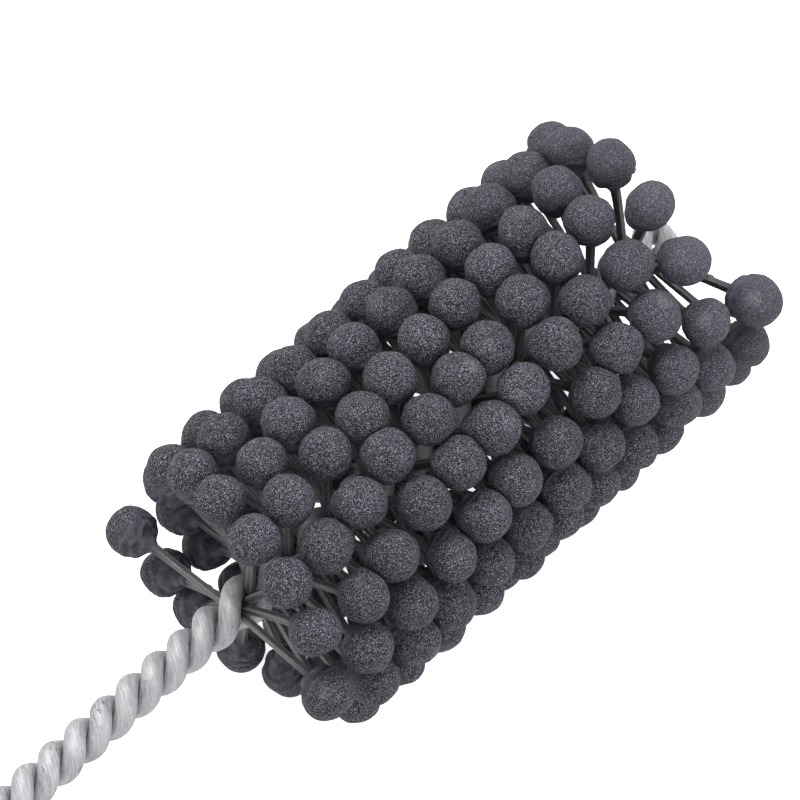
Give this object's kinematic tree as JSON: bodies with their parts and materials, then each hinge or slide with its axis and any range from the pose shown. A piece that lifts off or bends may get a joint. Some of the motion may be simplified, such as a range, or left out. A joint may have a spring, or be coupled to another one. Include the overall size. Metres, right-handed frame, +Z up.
{
  "type": "flexible ball hone",
  "caption": "Cylinder hone: abrasive balls on nylon filaments that climb a twisted two-wire stem in two spirals, with a bare twisted shank for a drill chuck.",
  "frame": {"origin": "centre of the shank's cut end, on the stem's axis", "axes": "+X along the stem's axis from the shank to the tip, +Z up, lying level on the balls"},
  "size_m": [0.3453, 0.083, 0.083],
  "materials": {
    "galvanised_steel_wire": "dull zinc, drawn",
    "nylon_filament": "satin, coated with abrasive dust",
    "abrasive_globule": "matte silicon carbide grit in resin"
  },
  "bodies": {
    "stem": {"wire_a": "galvanised_steel_wire", "wire_b": "galvanised_steel_wire", "filaments_01": "nylon_filament", "filaments_02": "nylon_filament", "filaments_03": "nylon_filament", "filaments_04": "nylon_filament", "filaments_05": "nylon_filament", "filaments_06": "nylon_filament", "filaments_07": "nylon_filament", "filaments_08": "nylon_filament", "filaments_09": "nylon_filament", "filaments_10": "nylon_filament", "filaments_11": "nylon_filament"},
    "balls": {"balls_a_01": "abrasive_globule", "balls_a_02": "abrasive_globule", "balls_a_03": "abrasive_globule", "balls_a_04": "abrasive_globule", "balls_a_05": "abrasive_globule", "balls_a_06": "abrasive_globule", "balls_a_07": "abrasive_globule", "balls_a_08": "abrasive_globule", "balls_a_09": "abrasive_globule", "balls_a_10": "abrasive_globule", "balls_a_11": "abrasive_globule", "balls_b_01": "abrasive_globule", "balls_b_02": "abrasive_globule", "balls_b_03": "abrasive_globule", "balls_b_04": "abrasive_globule", "balls_b_05": "abrasive_globule", "balls_b_06": "abrasive_globule", "balls_b_07": "abrasive_globule", "balls_b_08": "abrasive_globule", "balls_b_09": "abrasive_globule", "balls_b_10": "abrasive_globule", "balls_b_11": "abrasive_globule"}
  },
  "joints": [
    {"name": "filament_flex", "type": "hinge", "parent": "stem", "child": "balls", "pos_m": [0, 0, 0], "axis": [1, 0, 0], "range_deg": [-12, 12], "stiffness_Nm_per_rad": 115, "deforming": ["filaments_01", "filaments_02", "filaments_03", "filaments_04", "filaments_05", "filaments_06", "filaments_07", "filaments_08", "filaments_09", "filaments_10", "filaments_11"]}
  ]
}
